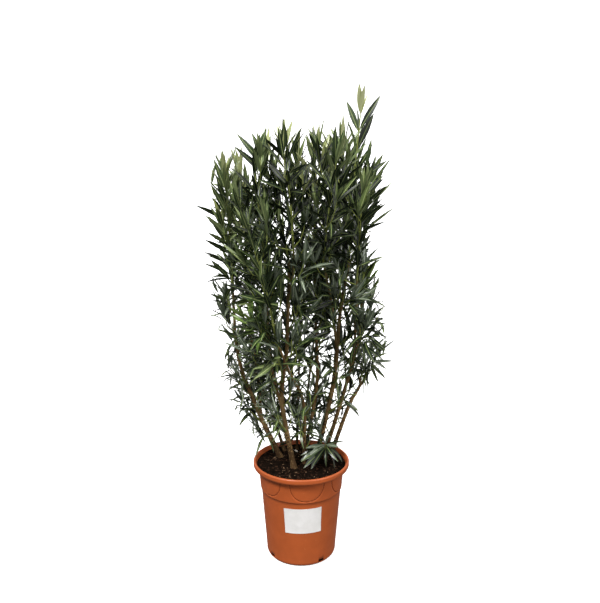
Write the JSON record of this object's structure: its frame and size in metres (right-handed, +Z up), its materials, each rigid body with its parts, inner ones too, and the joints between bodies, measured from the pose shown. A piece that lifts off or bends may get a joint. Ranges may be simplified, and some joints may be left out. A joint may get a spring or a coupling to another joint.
{
  "type": "potted oleander",
  "caption": "Tall many-stemmed oleander shrub with narrow leaves in whorls, in a round terracotta-coloured plastic pot with a rolled rim and a bare paper label.",
  "frame": {"origin": "centre of the pot's flat underside", "axes": "+Z up through the pot, -Y to the front where the label is, +X to the right seen from the front"},
  "size_m": [0.7489, 0.6664, 1.7253],
  "materials": {
    "pot_plastic": "satin",
    "compost": "matte",
    "label_paper": "matte",
    "bark": "matte",
    "foliage": "satin"
  },
  "bodies": {
    "root": {"pot": "pot_plastic", "soil": "compost", "label": "label_paper", "cane_left_outer": "bark", "cane_left_rear": "bark", "cane_front_thick": "bark", "cane_front_thin": "bark", "cane_centre": "bark", "cane_right_thick": "bark", "cane_right_rear": "bark", "cane_right_outer": "bark", "cane_rear_left": "bark", "cane_rear_right": "bark", "cane_foot_shoot": "bark", "bough_left_inner": "bark", "bough_front_left": "bark", "bough_front_middle": "bark", "bough_front_right": "bark", "bough_right_front": "bark", "leaves_left_outer": "foliage", "leaves_left_inner": "foliage", "leaves_left_rear": "foliage", "leaves_front_left": "foliage", "leaves_middle_left": "foliage", "leaves_front_middle": "foliage", "leaves_rear_middle": "foliage", "leaves_centre": "foliage", "leaves_front_right": "foliage", "leaves_tall_shoot": "foliage", "leaves_rear_right": "foliage", "leaves_right_rear": "foliage", "leaves_right_outer": "foliage", "leaves_low_front": "foliage", "leaves_right_front": "foliage", "leaves_foot_shoot": "foliage", "side_low_left": "foliage", "side_left": "foliage", "side_left_drooping": "foliage", "side_left_high": "foliage", "side_left_inner": "foliage", "side_front": "foliage", "side_front_high": "foliage", "side_front_low": "foliage", "side_front_left": "foliage", "side_low_front": "foliage", "side_centre": "foliage", "side_centre_high": "foliage", "side_middle_right": "foliage", "side_right_inner": "foliage", "side_front_right": "foliage", "side_right_front": "foliage", "side_right": "foliage", "side_right_high": "foliage", "side_right_rear": "foliage", "side_low_right": "foliage", "side_rear_left": "foliage", "side_rear_left_high": "foliage", "side_rear": "foliage", "side_rear_right": "foliage", "side_rear_high": "foliage"}
  },
  "joints": []
}
